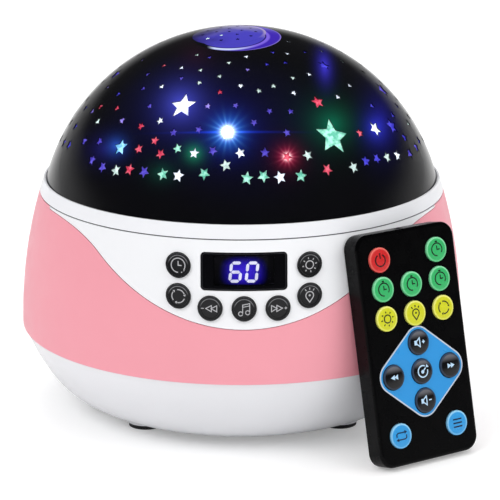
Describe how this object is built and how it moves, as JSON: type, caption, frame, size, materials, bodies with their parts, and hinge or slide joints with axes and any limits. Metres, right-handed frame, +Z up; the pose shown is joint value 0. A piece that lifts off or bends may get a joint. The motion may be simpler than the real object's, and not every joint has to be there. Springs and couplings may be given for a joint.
{
  "type": "star night light projector",
  "caption": "Round night light: a black dome pierced with stars turns on a white and pink housing with a timer display and buttons; a small remote control leans on its side.",
  "frame": {"origin": "on the surface that the feet stand on, below the axis that the dome turns about", "axes": "+Z up along the dome's turning axis; the display and the buttons face -Y; +X is to the right of someone who looks at the display"},
  "size_m": [0.155, 0.1603, 0.132],
  "materials": {
    "white_plastic": "glossy moulded plastic",
    "pink_plastic": "glossy moulded plastic",
    "grey_plastic": "moulded plastic",
    "smoked_plastic": "glossy smoked plastic",
    "dark_plastic": "moulded plastic",
    "lit_digits": "lit segments",
    "circuit_board": "solder mask",
    "white_board": "white solder mask",
    "steel": "plated steel",
    "motor_steel": "plated steel can",
    "foot_rubber": "soft rubber",
    "battery": "printed metal sleeve",
    "led": "clear epoxy",
    "dome_black": "glossy moulded plastic",
    "diffuser": "frosted plastic",
    "gear_plastic": "natural nylon",
    "button_black": "glossy moulded plastic",
    "remote_black": "fine-grained plastic",
    "diamond_blue": "printed film",
    "key_red": "silicone rubber",
    "key_green": "silicone rubber",
    "key_yellow": "silicone rubber",
    "key_blue": "silicone rubber",
    "key_black": "silicone rubber"
  },
  "bodies": {
    "housing": {"lower_shell": "white_plastic", "side_shell": "pink_plastic", "front_panel": "white_plastic", "collar_ring": "white_plastic", "mid_deck": "grey_plastic", "display_window": "smoked_plastic", "display_module": "dark_plastic", "display_digits": "lit_digits", "main_board": "circuit_board", "tact_switches": "dark_plastic", "ir_receiver": "dark_plastic", "usb_socket": "steel", "feet": "foot_rubber", "case_screws": "steel", "speaker_frame": "steel", "speaker_cone": "dark_plastic", "battery_contacts": "steel", "battery_cells": "battery", "gear_motor": "motor_steel", "motor_screws": "steel", "light_post": "white_plastic", "light_board": "white_board", "light_leds": "led", "board_screws": "steel"},
    "dome": {"star_dome": "dome_black", "dome_liner": "diffuser", "turntable": "dark_plastic"},
    "pinion": {"motor_shaft": "steel", "drive_pinion": "gear_plastic"},
    "battery_door": {"battery_door": "white_plastic", "door_screw": "steel"},
    "button_timer": {"button_timer": "button_black"},
    "button_turn": {"button_turn": "button_black"},
    "button_back": {"button_back": "button_black"},
    "button_music": {"button_music": "button_black"},
    "button_next": {"button_next": "button_black"},
    "button_lamp": {"button_lamp": "button_black"},
    "button_colour": {"button_colour": "button_black"},
    "remote": {"remote_front": "remote_black", "remote_back": "remote_black", "remote_diamond": "diamond_blue", "remote_board": "circuit_board", "remote_ir_led": "smoked_plastic"},
    "remote_tray": {"remote_tray": "remote_black", "coin_cell": "steel"},
    "key_power": {"key_power": "key_red"},
    "key_timer_a": {"key_timer_a": "key_green"},
    "key_timer_b": {"key_timer_b": "key_green"},
    "key_timer_c": {"key_timer_c": "key_green"},
    "key_timer_d": {"key_timer_d": "key_green"},
    "key_lamp": {"key_lamp": "key_yellow"},
    "key_colour": {"key_colour": "key_yellow"},
    "key_turn": {"key_turn": "key_yellow"},
    "key_louder": {"key_louder": "key_black"},
    "key_back": {"key_back": "key_black"},
    "key_mode": {"key_mode": "key_black"},
    "key_next": {"key_next": "key_black"},
    "key_softer": {"key_softer": "key_black"},
    "key_repeat": {"key_repeat": "key_blue"},
    "key_shuffle": {"key_shuffle": "key_blue"}
  },
  "joints": [
    {"name": "dome_turn", "type": "hinge", "parent": "housing", "child": "dome", "pos_m": [0, 0, 0.08], "axis": [0, 0, 1], "continuous": true},
    {"name": "pinion_turn", "type": "hinge", "parent": "housing", "child": "pinion", "pos_m": [0, 0.045, 0.078], "axis": [0, 0, 1], "continuous": true},
    {"name": "battery_door_swing", "type": "hinge", "parent": "housing", "child": "battery_door", "pos_m": [0, -0.0005, 0.0025], "axis": [-1, 0, 0], "range_deg": [0, 100]},
    {"name": "remote_lift", "type": "slide", "parent": "housing", "child": "remote", "axis": [0, 0, 1], "range_m": [0, 0.1]},
    {"name": "remote_tray_slide", "type": "slide", "parent": "remote", "child": "remote_tray", "axis": [0.1225, -0.1887, -0.9744], "range_m": [0, 0.028]},
    {"name": "button_timer_press", "type": "slide", "parent": "housing", "child": "button_timer", "axis": [0, 1, 0], "range_m": [0, 0.0004], "stiffness_N_per_m": 150, "springref_m": -0.0005},
    {"name": "button_turn_press", "type": "slide", "parent": "housing", "child": "button_turn", "axis": [0, 1, 0], "range_m": [0, 0.0004], "stiffness_N_per_m": 150, "springref_m": -0.0005},
    {"name": "button_back_press", "type": "slide", "parent": "housing", "child": "button_back", "axis": [0, 1, 0], "range_m": [0, 0.0004], "stiffness_N_per_m": 150, "springref_m": -0.0005},
    {"name": "button_music_press", "type": "slide", "parent": "housing", "child": "button_music", "axis": [0, 1, 0], "range_m": [0, 0.0004], "stiffness_N_per_m": 150, "springref_m": -0.0005},
    {"name": "button_next_press", "type": "slide", "parent": "housing", "child": "button_next", "axis": [0, 1, 0], "range_m": [0, 0.0004], "stiffness_N_per_m": 150, "springref_m": -0.0005},
    {"name": "button_lamp_press", "type": "slide", "parent": "housing", "child": "button_lamp", "axis": [0, 1, 0], "range_m": [0, 0.0004], "stiffness_N_per_m": 150, "springref_m": -0.0005},
    {"name": "button_colour_press", "type": "slide", "parent": "housing", "child": "button_colour", "axis": [0, 1, 0], "range_m": [0, 0.0004], "stiffness_N_per_m": 150, "springref_m": -0.0005},
    {"name": "key_power_press", "type": "slide", "parent": "remote", "child": "key_power", "axis": [-0.5307, 0.8172, -0.225], "range_m": [0, 0.0003], "stiffness_N_per_m": 150, "springref_m": -0.0005},
    {"name": "key_timer_a_press", "type": "slide", "parent": "remote", "child": "key_timer_a", "axis": [-0.5307, 0.8172, -0.225], "range_m": [0, 0.0003], "stiffness_N_per_m": 150, "springref_m": -0.0005},
    {"name": "key_timer_b_press", "type": "slide", "parent": "remote", "child": "key_timer_b", "axis": [-0.5307, 0.8172, -0.225], "range_m": [0, 0.0003], "stiffness_N_per_m": 150, "springref_m": -0.0005},
    {"name": "key_timer_c_press", "type": "slide", "parent": "remote", "child": "key_timer_c", "axis": [-0.5307, 0.8172, -0.225], "range_m": [0, 0.0003], "stiffness_N_per_m": 150, "springref_m": -0.0005},
    {"name": "key_timer_d_press", "type": "slide", "parent": "remote", "child": "key_timer_d", "axis": [-0.5307, 0.8172, -0.225], "range_m": [0, 0.0003], "stiffness_N_per_m": 150, "springref_m": -0.0005},
    {"name": "key_lamp_press", "type": "slide", "parent": "remote", "child": "key_lamp", "axis": [-0.5307, 0.8172, -0.225], "range_m": [0, 0.0003], "stiffness_N_per_m": 150, "springref_m": -0.0005},
    {"name": "key_colour_press", "type": "slide", "parent": "remote", "child": "key_colour", "axis": [-0.5307, 0.8172, -0.225], "range_m": [0, 0.0003], "stiffness_N_per_m": 150, "springref_m": -0.0005},
    {"name": "key_turn_press", "type": "slide", "parent": "remote", "child": "key_turn", "axis": [-0.5307, 0.8172, -0.225], "range_m": [0, 0.0003], "stiffness_N_per_m": 150, "springref_m": -0.0005},
    {"name": "key_louder_press", "type": "slide", "parent": "remote", "child": "key_louder", "axis": [-0.5307, 0.8172, -0.225], "range_m": [0, 0.0003], "stiffness_N_per_m": 150, "springref_m": -0.0005},
    {"name": "key_back_press", "type": "slide", "parent": "remote", "child": "key_back", "axis": [-0.5307, 0.8172, -0.225], "range_m": [0, 0.0003], "stiffness_N_per_m": 150, "springref_m": -0.0005},
    {"name": "key_mode_press", "type": "slide", "parent": "remote", "child": "key_mode", "axis": [-0.5307, 0.8172, -0.225], "range_m": [0, 0.0003], "stiffness_N_per_m": 150, "springref_m": -0.0005},
    {"name": "key_next_press", "type": "slide", "parent": "remote", "child": "key_next", "axis": [-0.5307, 0.8172, -0.225], "range_m": [0, 0.0003], "stiffness_N_per_m": 150, "springref_m": -0.0005},
    {"name": "key_softer_press", "type": "slide", "parent": "remote", "child": "key_softer", "axis": [-0.5307, 0.8172, -0.225], "range_m": [0, 0.0003], "stiffness_N_per_m": 150, "springref_m": -0.0005},
    {"name": "key_repeat_press", "type": "slide", "parent": "remote", "child": "key_repeat", "axis": [-0.5307, 0.8172, -0.225], "range_m": [0, 0.0003], "stiffness_N_per_m": 150, "springref_m": -0.0005},
    {"name": "key_shuffle_press", "type": "slide", "parent": "remote", "child": "key_shuffle", "axis": [-0.5307, 0.8172, -0.225], "range_m": [0, 0.0003], "stiffness_N_per_m": 150, "springref_m": -0.0005}
  ],
  "couplings": [
    {"joint": "pinion_turn", "follows": "dome_turn", "ratio": 5.2857}
  ]
}
